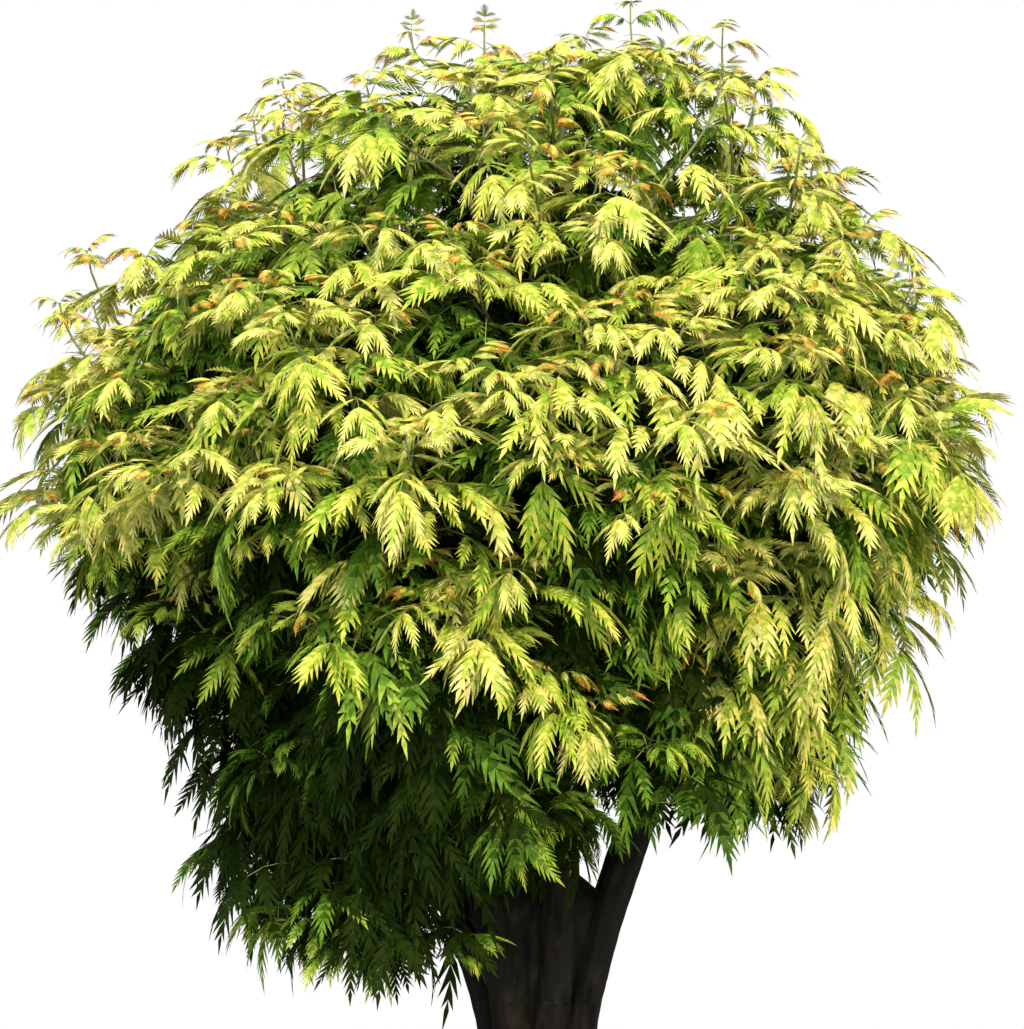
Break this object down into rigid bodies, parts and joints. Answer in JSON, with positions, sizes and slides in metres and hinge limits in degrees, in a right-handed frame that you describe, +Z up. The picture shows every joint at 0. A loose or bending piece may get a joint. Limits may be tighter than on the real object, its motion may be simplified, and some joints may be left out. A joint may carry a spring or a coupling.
{
  "type": "potted golden cut-leaf red elderberry",
  "caption": "Rounded golden-leaved shrub with finely cut drooping leaves on a vase of fused stems, standing in a plain round clay pot.",
  "frame": {"origin": "centre of the flat underside of the pot, on the pot's axis", "axes": "+Z up along the pot's axis to the top of the shrub; -Y faces the side that the picture shows; +X is the picture's right"},
  "size_m": [1.6259, 1.6035, 2.0637],
  "materials": {
    "terracotta": "unglazed, matt",
    "compost": "loose, matt",
    "bark": "furrowed bark",
    "foliage": "soft golden leaves"
  },
  "bodies": {
    "root": {"pot": "terracotta", "soil": "compost", "trunk": "bark", "stem_centre": "bark", "stem_1": "bark", "stem_2": "bark", "stem_3": "bark", "stem_4": "bark", "stem_5": "bark", "stem_6": "bark", "stem_7": "bark", "bough_upper_1": "bark", "bough_upper_2": "bark", "bough_upper_3": "bark", "bough_upper_4": "bark", "bough_upper_5": "bark", "bough_lower_1": "bark", "bough_lower_2": "bark", "bough_lower_3": "bark", "bough_lower_4": "bark", "bough_lower_5": "bark", "bough_lower_6": "bark", "bough_skirt_left": "bark", "bough_skirt_front": "bark", "foliage_top": "foliage", "foliage_upper_1": "foliage", "foliage_upper_2": "foliage", "foliage_upper_3": "foliage", "foliage_upper_4": "foliage", "foliage_upper_5": "foliage", "foliage_middle_1": "foliage", "foliage_middle_2": "foliage", "foliage_middle_3": "foliage", "foliage_middle_4": "foliage", "foliage_middle_5": "foliage", "foliage_middle_6": "foliage", "foliage_middle_7": "foliage", "foliage_lower_1": "foliage", "foliage_lower_2": "foliage", "foliage_lower_3": "foliage", "foliage_lower_4": "foliage", "foliage_lower_5": "foliage", "foliage_lower_6": "foliage", "foliage_skirt_left": "foliage", "foliage_skirt_front": "foliage"}
  },
  "joints": []
}
